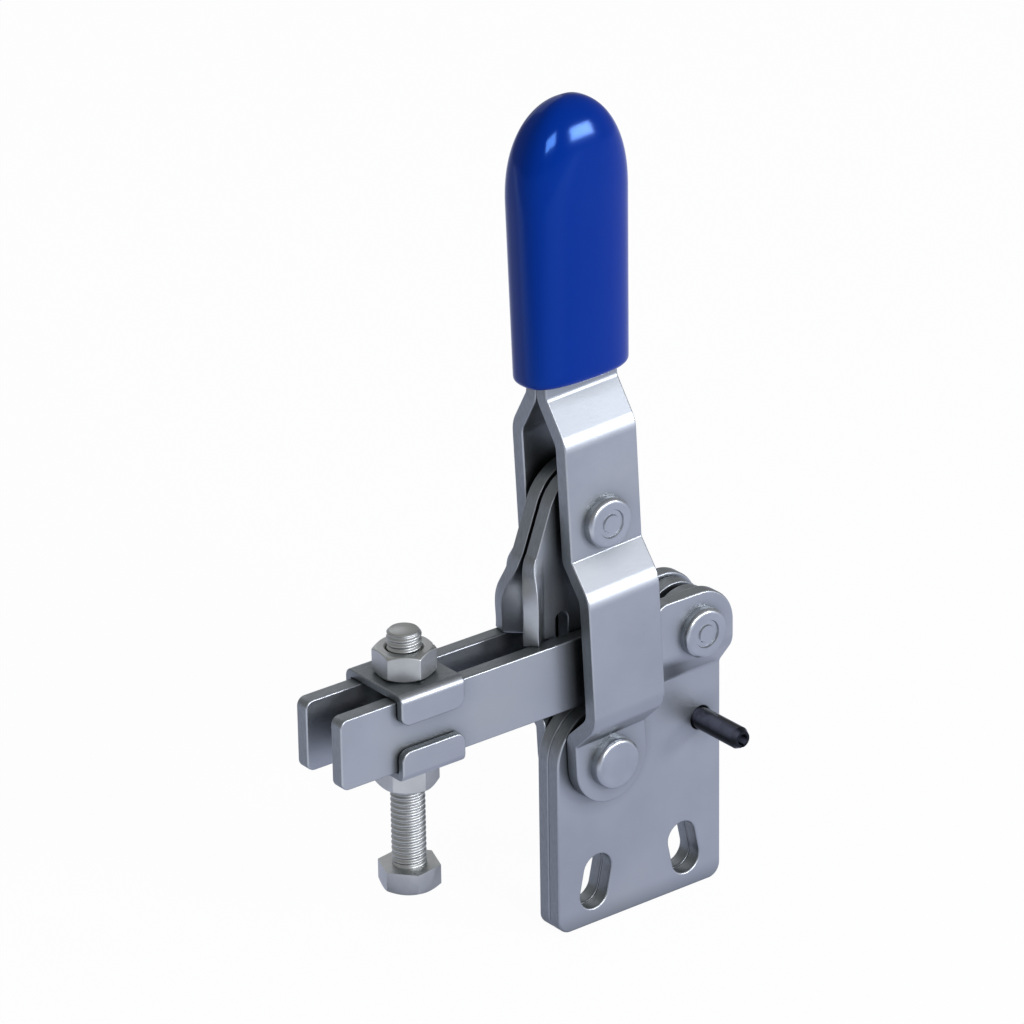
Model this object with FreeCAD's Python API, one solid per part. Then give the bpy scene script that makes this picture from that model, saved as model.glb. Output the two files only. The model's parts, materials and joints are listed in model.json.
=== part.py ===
"""Vertical-handle toggle clamp with a straight base, arm bars and an adjustable spindle.

Frame: X runs from the spindle to the stop pin, Y across the clamp, Z up.
The origin is the centre of the two mounting slots, midway between the two base plates.
All sizes are in millimetres. Each node is written to parts/NODE.step.
"""
import os
from math import acos, atan2, cos, hypot, pi, radians, sin, sqrt, tan

import FreeCAD
import Part

# Sheet metal
PLATE = 2.75              # thickness of every pressed plate
BEND = 1.6                # inside radius of a bend
CREASE = 0.4              # inside radius of a sharp one
FULL_ROUND = 0.999        # share of half a width that a round end takes
PIVOT_GAP = 0.05          # side gap between a plate and what turns on it
HOLE_GAP = 0.05           # radial gap of a rivet or bolt in its hole

# Base
BASE_WIDTH = 36.0
BASE_FOOT = 8.0           # slot centres above the foot
BASE_CORNER = 2.5
SLOT_SPACING = 19.6
SLOT_WIDTH = 6.0
SLOT_LENGTH = 10.1
SLOT_TILT = 12.0          # degrees from upright, the two tops leaning apart from the middle
EAR_FRONT = 0.6           # front edge of the rear ears
EAR_ROUND = 7.3           # outer radius of the ears about the arm pivot
EAR_CORNER = 3.0
EAR_HOLLOW = 1.6          # inner corner between ear and lobe
LOBE = 9.7                # front edge to handle pivot
PIN_EDGE = 4.4            # rear edge to stop pin
EAR_LEVEL = 3.55          # inner face of an ear from the middle plane
EAR_RISE = 33.75          # height at which the outer faces begin to spread
EAR_SPREAD = 4.85         # height over which they spread
EAR_THINNING = 0.6        # the inner faces spread this much earlier

# Pivots
HANDLE_PIVOT = (LOBE - BASE_WIDTH / 2, 23.85)
ARM_PIVOT = (BASE_WIDTH / 2 - EAR_ROUND, 42.75)
HANDLE_LEAN = 2.95        # degrees towards the spindle
CRANK = 46.05             # handle pivot to upper link pivot
LINK_LENGTH = 26.93       # upper link pivot to lower link pivot
HANDLE_TRAVEL = 65.0      # degrees that the handle opens

# Rivets
RIVET_RADIUS = 2.5        # shanks
HEAD_RADIUS = 4.5
HEAD_HEIGHT = 1.7
PLAIN_HEAD_RADIUS = 4.6
PLAIN_HEAD_HEIGHT = 2.0
LOW_HEAD_RADIUS = 3.3
LOW_HEAD_HEIGHT = 1.4
HEAD_EDGE = 0.8           # rounding of a rivet head
RING_DEPTH = 0.3          # ring pressed into the formed heads
RING_INNER = 0.37         # its radii as shares of the head's
RING_OUTER = 0.54

# Stop pin
STOP_PIN = (BASE_WIDTH / 2 - PIN_EDGE, 24.0)
STOP_RADIUS = 2.0
STOP_BORE = 1.0
STOP_REACH = 11.2         # beyond each base plate
STOP_SLIT = 0.5
STOP_TAPER = 0.5

# Arm bars
ARM_FRONT = -65.5
ARM_TOP = 49.5
ARM_HEIGHT = 12.85
ARM_CORNER = 1.5
ARM_GAP = 6.7             # between the bars
ARM_EYE = 6.6             # upper radius about the arm pivot
ARM_HEEL = 4.45           # lower and rear radius, clear of the base's steps
ARM_NECK = 4.85           # top of the neck above the arm pivot
ARM_BACK_GAP = 1.4        # between the bars at the arm pivot
ARM_STEP_END = -1.8       # where the bars have stepped inwards
ARM_STEP = 3.5            # length of that step
SPACER_RADIUS = 5.0

# Link
LINK_GAP = 0.8            # between the two link plates
LINK_HEAD = 9.2           # radius about the upper pivot
LINK_FOOT = 4.1           # radius about the lower pivot
LINK_BACK = 40.0          # degrees that the link turns on the arm, cleared behind
NOTCH = (-11.0, 51.3)     # bottom of the clearance behind
LINK_FRONT = 17.0         # degrees above level where the front edge meets the head
LINK_SHOULDER = (-23.0, 63.1)
FLARE_TIP = -24.1         # front end of the flared tabs
# A tab has the line where it leaves the flat, its mid-sheet bend radius, the degrees of its tilt
# and of its front end, the height up to which it is full and the height from which it is none.
NEAR_FLARE = {
    "line": -20.7,
    "radius": 3.0,
    "tilt": 40.0,
    "end": 40.0,
    "full": 57.0,
    "none": 65.0,
}
FAR_FLARE = {
    "line": -18.9,
    "radius": 4.0,
    "tilt": 42.0,
    "end": 14.0,
    "full": 55.5,
    "none": 64.5,
}
RELIEF_X = -17.05         # round-topped notch between tab and tongue
RELIEF_WIDTH = 2.7
RELIEF_HEIGHT = 4.1
TONGUE_FOOT = 46.5        # front corner of the tongue between the arm bars
SLOT_GAP = 0.35           # round the upper rivet in the link's opening
PATH_STEPS = 10

# Handle
STRIP = 15.2              # width of the handle plates
LEVEL_PIVOT = 5.55        # outer face of a handle plate from the middle plane, by zone
LEVEL_WIDE = 11.3
LEVEL_LINK = 7.15
LEVEL_GRIP = 2.78
RISE_WIDE = (5.2, 10.6)   # where it steps, along the handle from its pivot
LINK_STEP_START = 11.2    # the next step, below the upper link pivot
LINK_STEP_END = 5.3
GRIP_STEP_START = 16.1    # the last step, above that pivot
GRIP_STEP_END = 23.1
GRIP_REACH = 25.1         # open end of the grip above it
STRIP_REACH = 64.5        # top of the plates above it
LONG_BEND = 3.0           # inside radius of the gentle bends
WASHER_RADIUS = 5.5
GRIP_LENGTH = 48.8
GRIP_LEAN = 0.95          # degrees towards the spindle
GRIP_HALF_WIDTH = 11.2
GRIP_HALF_DEPTH = 5.8
GRIP_LIP = 1.2            # rounding of the open end
GRIP_DOME = 17.0          # length over which the top rounds off
GRIP_DOME_POWER = 2.3
GRIP_SQUARENESS = 2.7
GRIP_FOOT = 0.955         # size at the open end as a share of the full one

# Spindle
SPINDLE_X = -47.7
BOLT_RADIUS = 2.95
BOLT_TOP = 58.7
BOLT_CHAMFER = 0.5
HEAD_FOOT = 11.5
HEX_FLATS = 9.45
HEX_HEAD = 4.0
HEX_NUT = 4.7
HEX_CHAMFER = 0.95        # chamfer circle as a share of the flats
HEX_SLOPE = 30.0          # degrees of the chamfer
NUT_SINK = 0.5            # countersink of a nut's bore
HEAD_TURN = -21.0         # degrees about the bolt
UPPER_NUT_TURN = -7.8
LOWER_NUT_TURN = -3.1
SADDLE_SHEET = 1.5
SADDLE_LENGTH = 13.0
SADDLE_DEPTH = 5.6        # overall height of a flanged washer
SADDLE_GAP = 0.15         # beside the arm bars
SADDLE_CORNER = 1.8

# Values that follow from the above
RISE_LINK = (CRANK - LINK_STEP_START, CRANK - LINK_STEP_END)
RISE_GRIP = (CRANK + GRIP_STEP_START, CRANK + GRIP_STEP_END)
GRIP_START = CRANK + GRIP_REACH
STRIP_TOP = CRANK + STRIP_REACH
ARM_FOOT = ARM_TOP - ARM_HEIGHT
ARM_OUTER = ARM_GAP / 2 + PLATE
LINK_OUTER = LINK_GAP / 2 + PLATE
LEAN = radians(HANDLE_LEAN)
UPPER_PIVOT = (HANDLE_PIVOT[0] - CRANK * sin(LEAN), HANDLE_PIVOT[1] + CRANK * cos(LEAN))
DROP = CRANK - LINK_LENGTH
LOWER_PIVOT = (HANDLE_PIVOT[0] - DROP * sin(LEAN), HANDLE_PIVOT[1] + DROP * cos(LEAN))


def vec(x, y, z):
    """Return a point or direction."""
    return FreeCAD.Vector(x, y, z)


def rounded_wire(points, place):
    """Return a closed wire through corners (u, v, radius), each corner an arc.

    place turns a pair (u, v) into a point in space.
    """
    edges = []
    joints = []
    count = len(points)
    for index in range(count):
        u0, v0 = points[index - 1][:2]
        u1, v1, radius = points[index]
        u2, v2 = points[(index + 1) % count][:2]
        back = (u0 - u1, v0 - v1)
        ahead = (u2 - u1, v2 - v1)
        back_length = hypot(*back)
        ahead_length = hypot(*ahead)
        back = (back[0] / back_length, back[1] / back_length)
        ahead = (ahead[0] / ahead_length, ahead[1] / ahead_length)
        half = acos(max(-1.0, min(1.0, back[0] * ahead[0] + back[1] * ahead[1]))) / 2
        if radius == 0 or half > pi / 2 - 1e-6:
            joints.append((place(u1, v1), place(u1, v1), None))
            continue
        reach = radius / tan(half)
        start = place(u1 + back[0] * reach, v1 + back[1] * reach)
        end = place(u1 + ahead[0] * reach, v1 + ahead[1] * reach)
        inward = (back[0] + ahead[0], back[1] + ahead[1])
        scale = (radius / sin(half) - radius) / hypot(*inward)
        middle = place(u1 + inward[0] * scale, v1 + inward[1] * scale)
        joints.append((start, end, middle))
    for index in range(count):
        start, end, middle = joints[index]
        if middle is not None:
            edges.append(Part.Arc(start, middle, end).toShape())
        following = joints[(index + 1) % count][0]
        if end.distanceToPoint(following) > 1e-6:
            edges.append(Part.LineSegment(end, following).toShape())
    return Part.Wire(edges)


def side_prism(points, low, high):
    """Return the solid of an X-Z outline between two Y levels."""
    wire = rounded_wire(points, lambda x, z: vec(x, low, z))
    return Part.Face(wire).extrude(vec(0, high - low, 0))


def cross_prism(points, low, high):
    """Return the solid of a Y-Z section between two X positions."""
    wire = rounded_wire(points, lambda y, z: vec(low, y, z))
    return Part.Face(wire).extrude(vec(high - low, 0, 0))


def plan_prism(points, low, high):
    """Return the solid of an X-Y outline between two heights."""
    wire = rounded_wire(points, lambda x, y: vec(x, y, low))
    return Part.Face(wire).extrude(vec(0, 0, high - low))


def cross_cylinder(centre, radius, low, high):
    """Return a cylinder along Y about an (x, z) centre."""
    return Part.makeCylinder(radius, high - low, vec(centre[0], low, centre[1]), vec(0, 1, 0))


def mirrored(shape):
    """Return the same piece on the other side of the middle plane."""
    return shape.mirror(vec(0, 0, 0), vec(0, 1, 0))


def bent_section(path, thickness):
    """Return corners (u, v, radius) of a bent sheet's section.

    path holds the corners (u, v, inside radius) of one face; the sheet lies to the left of it.
    """
    count = len(path)
    headings = []
    for (u0, v0, _), (u1, v1, _) in zip(path, path[1:]):
        headings.append(atan2(v1 - v0, u1 - u0))
    right = []
    left = []
    for index, (u, v, inside) in enumerate(path):
        before = headings[max(index - 1, 0)]
        after = headings[min(index, count - 2)]
        turn = after - before
        middle = (before + after) / 2
        reach = thickness / cos(turn / 2)
        right_radius = 0 if turn == 0 else (inside + thickness if turn > 0 else inside)
        left_radius = 0 if turn == 0 else (inside if turn > 0 else inside + thickness)
        right.append((u, v, right_radius))
        left.append((u - sin(middle) * reach, v + cos(middle) * reach, left_radius))
    return right + left[::-1]


def turned(point, angle, centre):
    """Turn an (x, z) point about a centre, tilting the top towards +X."""
    x = point[0] - centre[0]
    z = point[1] - centre[1]
    return (centre[0] + x * cos(angle) + z * sin(angle), centre[1] - x * sin(angle) + z * cos(angle))


def open_angles():
    """Return how far the arm and the link turn, in radians, when the handle is open."""
    upper = turned(UPPER_PIVOT, radians(HANDLE_TRAVEL), HANDLE_PIVOT)
    arm_x = LOWER_PIVOT[0] - ARM_PIVOT[0]
    arm_z = LOWER_PIVOT[1] - ARM_PIVOT[1]
    arm_length = hypot(arm_x, arm_z)
    gap_x = upper[0] - ARM_PIVOT[0]
    gap_z = upper[1] - ARM_PIVOT[1]
    gap = hypot(gap_x, gap_z)
    along = (arm_length ** 2 - LINK_LENGTH ** 2 + gap ** 2) / (2 * gap)
    across = sqrt(arm_length ** 2 - along ** 2)
    lower_x = ARM_PIVOT[0] + (along * gap_x - across * gap_z) / gap
    lower_z = ARM_PIVOT[1] + (along * gap_z + across * gap_x) / gap
    arm_turn = atan2(arm_z, arm_x) - atan2(lower_z - ARM_PIVOT[1], lower_x - ARM_PIVOT[0])
    rest = atan2(UPPER_PIVOT[1] - LOWER_PIVOT[1], UPPER_PIVOT[0] - LOWER_PIVOT[0])
    opened = atan2(upper[1] - lower_z, upper[0] - lower_x)
    return arm_turn % (2 * pi), (rest - opened) % (2 * pi)


def rivet_path():
    """Return where the upper rivet passes in the link, as offsets from the upper pivot."""
    arm_open, link_open = open_angles()
    points = []
    for step in range(PATH_STEPS):
        share = step / PATH_STEPS
        upper = turned(UPPER_PIVOT, share * radians(HANDLE_TRAVEL), HANDLE_PIVOT)
        lower = turned(LOWER_PIVOT, share * arm_open, ARM_PIVOT)
        moved = (upper[0] - lower[0] + LOWER_PIVOT[0], upper[1] - lower[1] + LOWER_PIVOT[1])
        points.append(turned(moved, -share * link_open, LOWER_PIVOT))
    return points


def base_plate():
    """Return the far base plate, flat below and stepped outwards at the ear."""
    edge = BASE_WIDTH / 2
    ear_top = ARM_PIVOT[1] + EAR_ROUND
    lobe_top = HANDLE_PIVOT[1] + LOBE
    outline = [
        (-edge, -BASE_FOOT, BASE_CORNER),
        (edge, -BASE_FOOT, BASE_CORNER),
        (edge, ear_top, EAR_ROUND),
        (EAR_FRONT, ear_top, EAR_CORNER),
        (EAR_FRONT, lobe_top, EAR_HOLLOW),
        (-edge, lobe_top, LOBE),
    ]
    reach = EAR_LEVEL + PLATE
    spread = EAR_RISE + EAR_SPREAD
    soft = BEND / 2
    section = [
        (0, -BASE_FOOT, 0),
        (PLATE, -BASE_FOOT, 0),
        (PLATE, EAR_RISE, BEND),
        (reach, spread, BEND + PLATE),
        (reach, ear_top, 0),
        (EAR_LEVEL, ear_top, 0),
        (EAR_LEVEL, spread - EAR_THINNING, soft),
        (0, EAR_RISE - EAR_THINNING, PLATE),
    ]
    plate = cross_prism(section, -edge, edge)
    plate = plate.common(side_prism(outline, 0, reach))
    cutters = [
        cross_cylinder(HANDLE_PIVOT, RIVET_RADIUS + HOLE_GAP, -PLATE, reach),
        cross_cylinder(ARM_PIVOT, RIVET_RADIUS + HOLE_GAP, 0, reach + PLATE),
        cross_cylinder(STOP_PIN, STOP_RADIUS, -PLATE, reach),
    ]
    for side in (-1, 1):
        cutters.append(mounting_slot(side))
    return plate.cut(cutters)


def mounting_slot(side):
    """Return the cutter of one mounting slot, side -1 in front and +1 behind."""
    half = SLOT_WIDTH / 2
    reach = SLOT_LENGTH / 2
    slot = side_prism(
        [(-half, -reach, half), (half, -reach, half), (half, reach, half), (-half, reach, half)],
        -PLATE, 2 * PLATE)
    slot.rotate(vec(0, 0, 0), vec(0, 1, 0), -side * SLOT_TILT)
    slot.translate(vec(side * SLOT_SPACING / 2, 0, 0))
    return slot


def formed_rivet(centre, shank, reach, radius, height, ringed):
    """Return a rivet across the clamp with a head at each end.

    Args: centre (x, z), shank radius, reach to the face under each head,
    head radius, head height, and whether the heads have stepped rings.
    """
    top = reach + height
    edge = min(HEAD_EDGE, height / 2)
    profile = [
        (0, -top, 0),
        (radius, -top, edge),
        (radius, -reach, 0),
        (shank, -reach, 0),
        (shank, reach, 0),
        (radius, reach, 0),
        (radius, top, edge),
        (0, top, 0),
    ]
    wire = rounded_wire(profile, lambda r, y: vec(r, y, 0))
    rivet = Part.Face(wire).revolve(vec(0, 0, 0), vec(0, 1, 0), 360)
    if ringed:
        for side in (-1, 1):
            rivet = rivet.cut(ring_groove(side, top, radius))
    rivet.translate(vec(centre[0], 0, centre[1]))
    return rivet


def ring_groove(side, top, radius):
    """Return the cutter of the shallow ring in one rivet head."""
    outer = radius * RING_OUTER
    inner = radius * RING_INNER
    points = [
        (inner, top - RING_DEPTH, 0),
        (outer, top - RING_DEPTH, 0),
        (outer + RING_DEPTH, top + RING_DEPTH, 0),
        (inner - RING_DEPTH, top + RING_DEPTH, 0),
    ]
    wire = rounded_wire(points, lambda r, y: vec(r, side * y, 0))
    return Part.Face(wire).revolve(vec(0, 0, 0), vec(0, 1, 0), 360)


def stop_pin():
    """Return the slotted spring pin, through both base plates and out on both sides."""
    end = PLATE + STOP_REACH
    profile = [
        (STOP_BORE, -end, 0),
        (STOP_RADIUS - STOP_TAPER, -end, 0),
        (STOP_RADIUS, -end + 2 * STOP_TAPER, 0),
        (STOP_RADIUS, end - 2 * STOP_TAPER, 0),
        (STOP_RADIUS - STOP_TAPER, end, 0),
        (STOP_BORE, end, 0),
    ]
    wire = rounded_wire(profile, lambda r, y: vec(r, y, 0))
    pin = Part.Face(wire).revolve(vec(0, 0, 0), vec(0, 1, 0), 360)
    slit = Part.makeBox(STOP_SLIT, 2 * end, STOP_RADIUS, vec(-STOP_SLIT / 2, -end, -STOP_RADIUS))
    pin = pin.cut(slit)
    pin.translate(vec(STOP_PIN[0], 0, STOP_PIN[1]))
    return pin


def arm_bar():
    """Return the far arm bar, stepped inwards to its eye on the arm pivot."""
    start = ARM_STEP_END - ARM_STEP
    rear = ARM_PIVOT[0] + ARM_EYE
    path = [
        (ARM_FRONT, ARM_GAP / 2, 0),
        (start, ARM_GAP / 2, BEND),
        (ARM_STEP_END, ARM_BACK_GAP / 2, BEND),
        (rear, ARM_BACK_GAP / 2, 0),
    ]
    section = bent_section(path, PLATE)
    bar = plan_prism(section, ARM_FOOT - ARM_EYE, ARM_TOP + ARM_EYE)
    pivot_x, pivot_z = ARM_PIVOT
    heel = pivot_z - ARM_HEEL
    neck = pivot_z + ARM_NECK
    outline = [
        (ARM_FRONT, ARM_FOOT, ARM_CORNER),
        (ARM_STEP_END - BEND, ARM_FOOT, BEND),
        (EAR_FRONT - BEND / 2, heel, BEND),
        (pivot_x, heel, 0),
        (pivot_x, neck, 0),
        (EAR_FRONT + BEND, neck, BEND),
        (ARM_STEP_END - BEND, ARM_TOP, BEND),
        (ARM_FRONT, ARM_TOP, ARM_CORNER),
    ]
    eye = cross_cylinder(ARM_PIVOT, ARM_EYE, 0, ARM_OUTER).common(side_prism(
        [
            (pivot_x - ARM_EYE, pivot_z, 0),
            (pivot_x + ARM_HEEL, pivot_z, 0),
            (pivot_x + ARM_HEEL, pivot_z + ARM_EYE, 0),
            (pivot_x - ARM_EYE, pivot_z + ARM_EYE, 0),
        ], 0, ARM_OUTER))
    silhouette = side_prism(outline, 0, ARM_OUTER)
    silhouette = silhouette.fuse([eye, cross_cylinder(ARM_PIVOT, ARM_HEEL, 0, ARM_OUTER)])
    bar = bar.common(silhouette)
    return bar.cut([
        cross_cylinder(ARM_PIVOT, RIVET_RADIUS + HOLE_GAP, 0, ARM_OUTER),
        cross_cylinder(LOWER_PIVOT, RIVET_RADIUS + HOLE_GAP, 0, ARM_OUTER + PLATE),
    ])


def spacer(centre, half_width, bore, radius):
    """Return a flat ring across the middle plane."""
    ring = cross_cylinder(centre, radius, -half_width, half_width)
    return ring.cut(cross_cylinder(centre, bore + HOLE_GAP, -half_width, half_width))


def front_edge(height):
    """Return the X of the link's front edge between the shoulder and the head."""
    front = radians(LINK_FRONT)
    head_x = UPPER_PIVOT[0] - LINK_HEAD * cos(front)
    head_z = UPPER_PIVOT[1] + LINK_HEAD * sin(front)
    x, z = LINK_SHOULDER
    return x + (head_x - x) * max(0.0, height - z) / (head_z - z)


def flare_section(height, flare, ease):
    """Return the closed section of a flared tab at one height.

    ease is 1 where the flare is full and 0 where the tab is flat.
    """
    steps = 4
    half = PLATE / 2
    tilt = radians(flare["tilt"]) * ease
    end = radians(flare["end"]) * ease
    tip = FLARE_TIP * ease + front_edge(height) * (1 - ease)
    inner = []
    outer = []
    for step in range(steps + 1):
        heading = tilt * step / steps
        x = flare["line"] - flare["radius"] * sin(heading)
        y = LINK_GAP / 2 + half + flare["radius"] * (1 - cos(heading))
        if ease == 0:
            x = flare["line"] - step / steps
        inner.append(vec(x - sin(heading) * half, y - cos(heading) * half, height))
        outer.append(vec(x + sin(heading) * half, y + cos(heading) * half, height))
    for share in (0.5, 1.0):
        heading = tilt + (end - tilt) * share
        along = share * (x - tip)
        middle = vec(x - along, y + tan(tilt) * along, height)
        inner.append(middle + vec(-sin(heading) * half, -cos(heading) * half, 0))
        outer.append(middle + vec(sin(heading) * half, cos(heading) * half, 0))
    inner_curve = Part.BSplineCurve()
    inner_curve.interpolate(inner)
    outer_curve = Part.BSplineCurve()
    outer_curve.interpolate(outer)
    return Part.Wire([
        inner_curve.toShape(),
        Part.LineSegment(inner[-1], outer[-1]).toShape(),
        outer_curve.toShape(),
        Part.LineSegment(outer[0], inner[0]).toShape(),
    ])


def flared_tab(flare):
    """Return a far tab, full flare at the arm bars and none where it joins the front edge."""
    rise = flare["none"] - flare["full"]
    sections = [
        flare_section(ARM_TOP, flare, 1.0),
        flare_section((ARM_TOP + flare["full"]) / 2, flare, 1.0),
        flare_section(flare["full"], flare, 1.0),
    ]
    for share in (0.25, 0.5, 0.75, 1.0):
        ease = 1 - share * share * (3 - 2 * share)
        sections.append(flare_section(flare["full"] + share * rise, flare, ease))
    return Part.makeLoft(sections, True, False)


def link_plate(flare):
    """Return a far link plate: head, tongue between the arm bars and flared tab over them."""
    low = LINK_GAP / 2
    relief_right = RELIEF_X + RELIEF_WIDTH / 2
    top_x, top_z = UPPER_PIVOT
    foot_x, foot_z = LOWER_PIVOT
    back = radians(LINK_BACK)
    rear = top_x + LINK_HEAD
    notch_x, notch_z = NOTCH
    front = radians(LINK_FRONT)
    body = side_prism(
        [
            (flare["line"], ARM_TOP, 0),
            (relief_right, ARM_TOP, 0),
            (relief_right, TONGUE_FOOT, BEND),
            (foot_x - LINK_FOOT * sin(back), foot_z - LINK_FOOT * cos(back), 0),
            (foot_x, foot_z, 0),
            (foot_x + LINK_FOOT * cos(back), foot_z + LINK_FOOT * sin(back), 0),
            (notch_x, notch_z, BEND),
            (rear, notch_z + (rear - notch_x) * tan(back), BEND),
            (rear, top_z, 0),
            (top_x, top_z, 0),
            (top_x - LINK_HEAD * cos(front), top_z + LINK_HEAD * sin(front), 0),
            (front_edge(flare["none"]), flare["none"], 0),
            (flare["line"], flare["none"], 0),
        ], low, LINK_OUTER)
    head = cross_cylinder(UPPER_PIVOT, LINK_HEAD, low, LINK_OUTER)
    foot = cross_cylinder(LOWER_PIVOT, LINK_FOOT, low, LINK_OUTER)
    plate = body.fuse([head, foot, flared_tab(flare)]).removeSplitter()
    return plate.cut([
        rivet_opening(),
        cross_cylinder(LOWER_PIVOT, RIVET_RADIUS + HOLE_GAP, 0, ARM_GAP),
        relief_notch(),
    ])


def relief_notch():
    """Return the cutter of the notch between the flared tab and the tongue."""
    half = RELIEF_WIDTH / 2
    top = ARM_TOP + RELIEF_HEIGHT
    return side_prism(
        [
            (RELIEF_X - half, ARM_TOP - half, 0),
            (RELIEF_X + half, ARM_TOP - half, 0),
            (RELIEF_X + half, top, half * FULL_ROUND),
            (RELIEF_X - half, top, half * FULL_ROUND),
        ], 0, 2 * ARM_GAP)


def rivet_opening():
    """Return the cutter of the opening that leaves the upper rivet its path."""
    centres = rivet_path()
    points = [vec(x, -PLATE, z) for x, z in centres]
    loop = Part.makePolygon(points + [points[0]])
    outline = loop.makeOffset2D(RIVET_RADIUS + SLOT_GAP)
    return Part.Face(outline).extrude(vec(0, ARM_GAP + PLATE, 0))


def along_handle(shape):
    """Place a piece built upright on the origin along the leaning handle."""
    placed = shape.copy()
    placed.rotate(vec(0, 0, 0), vec(0, 1, 0), -HANDLE_LEAN)
    placed.translate(vec(HANDLE_PIVOT[0], 0, HANDLE_PIVOT[1]))
    return placed


def handle_plate():
    """Return the far handle plate, stepped to clear the arm, the link and the base ears."""
    half = STRIP / 2
    path = [
        (LEVEL_PIVOT, -half, 0),
        (LEVEL_PIVOT, RISE_WIDE[0], CREASE),
        (LEVEL_WIDE, RISE_WIDE[1], LONG_BEND),
        (LEVEL_WIDE, RISE_LINK[0], LONG_BEND),
        (LEVEL_LINK, RISE_LINK[1], CREASE),
        (LEVEL_LINK, RISE_GRIP[0], LONG_BEND),
        (LEVEL_GRIP, RISE_GRIP[1], BEND),
        (LEVEL_GRIP, STRIP_TOP, 0),
    ]
    plate = cross_prism(bent_section(path, PLATE), -half, half)
    end_round = half * FULL_ROUND
    outline = [
        (-half, -half, end_round),
        (half, -half, end_round),
        (half, STRIP_TOP, end_round),
        (-half, STRIP_TOP, end_round),
    ]
    plate = plate.common(side_prism(outline, 0, LEVEL_WIDE))
    plate = along_handle(plate)
    return plate.cut([
        cross_cylinder(HANDLE_PIVOT, RIVET_RADIUS + HOLE_GAP, 0, LEVEL_WIDE),
        cross_cylinder(UPPER_PIVOT, RIVET_RADIUS + HOLE_GAP, 0, LEVEL_WIDE),
    ])


def grip_section(height, half_width, half_depth):
    """Return one closed section of the grip."""
    points = []
    count = 16
    power = 2 / GRIP_SQUARENESS
    for step in range(count):
        angle = 2 * pi * step / count
        across = cos(angle)
        deep = sin(angle)
        x = half_width * abs(across) ** power * (1 if across > 0 else -1)
        y = half_depth * abs(deep) ** power * (1 if deep > 0 else -1)
        points.append(vec(x, y, height))
    curve = Part.BSplineCurve()
    curve.interpolate(points, PeriodicFlag=True)
    return Part.Wire([curve.toShape()])


def grip():
    """Return the dipped grip, hollow where it covers the two handle plates."""
    end = GRIP_START + GRIP_LENGTH
    dome_start = end - GRIP_DOME
    levels = [
        (GRIP_START, GRIP_FOOT - GRIP_LIP / GRIP_HALF_WIDTH),
        (GRIP_START + GRIP_LIP / 3, GRIP_FOOT - GRIP_LIP / GRIP_HALF_WIDTH / 4),
        (GRIP_START + GRIP_LIP, GRIP_FOOT),
        ((GRIP_START + dome_start) / 2, (1 + GRIP_FOOT) / 2),
        (dome_start, 1.0),
    ]
    for share in (0.35, 0.62, 0.82, 0.94, 0.995):
        levels.append((dome_start + GRIP_DOME * share, sqrt(1 - share ** GRIP_DOME_POWER)))
    sections = []
    for height, size in levels:
        sections.append(grip_section(height, GRIP_HALF_WIDTH * size, GRIP_HALF_DEPTH * size))
    cover = Part.makeLoft(sections, True, False)
    cover.rotate(vec(0, 0, GRIP_START), vec(0, 1, 0), HANDLE_LEAN - GRIP_LEAN)
    half = STRIP / 2 + HOLE_GAP
    deep = LEVEL_GRIP + HOLE_GAP
    top = STRIP_TOP + HOLE_GAP
    pocket = side_prism(
        [
            (-half, GRIP_START - BEND, 0),
            (half, GRIP_START - BEND, 0),
            (half, top, half * FULL_ROUND),
            (-half, top, half * FULL_ROUND),
        ], -deep, deep)
    return along_handle(cover.cut(pocket))


def hexagon(foot, height, turn, chamfer_foot, chamfer_top):
    """Return a hexagon on the spindle axis with conical corner chamfers."""
    corner = HEX_FLATS / sqrt(3)
    points = []
    for step in range(6):
        angle = radians(turn + 30 + 60 * step)
        points.append((SPINDLE_X + corner * cos(angle), corner * sin(angle), 0))
    body = plan_prism(points, foot, foot + height)
    circle = HEX_CHAMFER * HEX_FLATS / 2
    drop = (corner - circle) * tan(radians(HEX_SLOPE))
    bevel_foot = drop if chamfer_foot else 0
    bevel_top = drop if chamfer_top else 0
    profile = [
        (0, 0, 0),
        (circle if chamfer_foot else corner, 0, 0),
        (corner, bevel_foot, 0),
        (corner, height - bevel_top, 0),
        (circle if chamfer_top else corner, height, 0),
        (0, height, 0),
    ]
    kept = [profile[0]]
    for point in profile[1:]:
        if hypot(point[0] - kept[-1][0], point[1] - kept[-1][1]) > 1e-6:
            kept.append(point)
    wire = rounded_wire(kept, lambda r, z: vec(SPINDLE_X + r, 0, foot + z))
    envelope = Part.Face(wire).revolve(vec(SPINDLE_X, 0, 0), vec(0, 0, 1), 360)
    return body.common(envelope)


def spindle_bolt():
    """Return the hexagon-head bolt, head down."""
    head = hexagon(HEAD_FOOT, HEX_HEAD, HEAD_TURN, True, False)
    shank_foot = HEAD_FOOT + HEX_HEAD
    profile = [
        (0, shank_foot, 0),
        (BOLT_RADIUS, shank_foot, 0),
        (BOLT_RADIUS, BOLT_TOP - BOLT_CHAMFER, 0),
        (BOLT_RADIUS - BOLT_CHAMFER, BOLT_TOP, 0),
        (0, BOLT_TOP, 0),
    ]
    wire = rounded_wire(profile, lambda r, z: vec(SPINDLE_X + r, 0, z))
    shank = Part.Face(wire).revolve(vec(SPINDLE_X, 0, 0), vec(0, 0, 1), 360)
    return head.fuse(shank).removeSplitter()


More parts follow.
